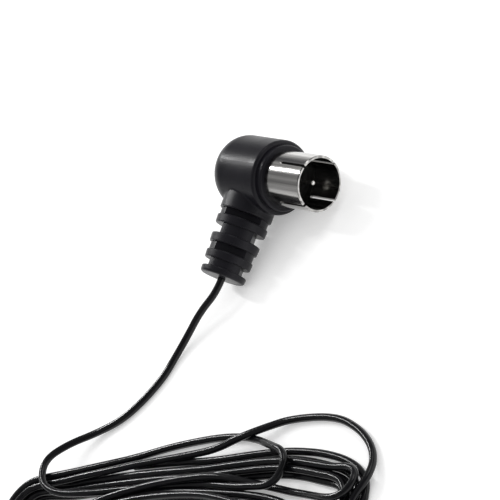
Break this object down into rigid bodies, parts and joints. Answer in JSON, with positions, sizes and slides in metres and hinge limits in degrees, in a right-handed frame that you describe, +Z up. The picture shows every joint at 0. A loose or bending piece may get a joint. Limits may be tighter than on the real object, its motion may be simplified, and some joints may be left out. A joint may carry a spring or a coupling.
{
  "type": "fm indoor antenna",
  "caption": "Right-angle push-on aerial plug with a slotted metal barrel and a ribbed strain relief, on a thin black antenna wire that lies in a loose hank.",
  "frame": {"origin": "on the floor under the middle of the plug, which lies on its side, without the wire", "axes": "+X along the barrel towards its open mouth, +Z up from the floor, and the wire leaves the plug towards -Y"},
  "size_m": [0.0904, 0.0866, 0.014],
  "materials": {
    "plug_moulding": "satin black moulded plastic",
    "plated_metal": "bright nickel plate",
    "insulator": "smooth black plastic",
    "pin_metal": "bright nickel plate",
    "inner_moulding": "natural milky plastic",
    "copper": "bare stranded copper",
    "solder": "satin solder",
    "wire_jacket": "smooth glossy black jacket"
  },
  "bodies": {
    "root": {"overmould": "plug_moulding", "contact_barrel": "plated_metal", "barrel_insulator": "insulator", "centre_pin": "pin_metal", "inner_mould": "inner_moulding", "conductor_core": "copper", "solder_joint": "solder", "antenna_wire": "wire_jacket", "wire_hank": "wire_jacket"}
  },
  "joints": []
}
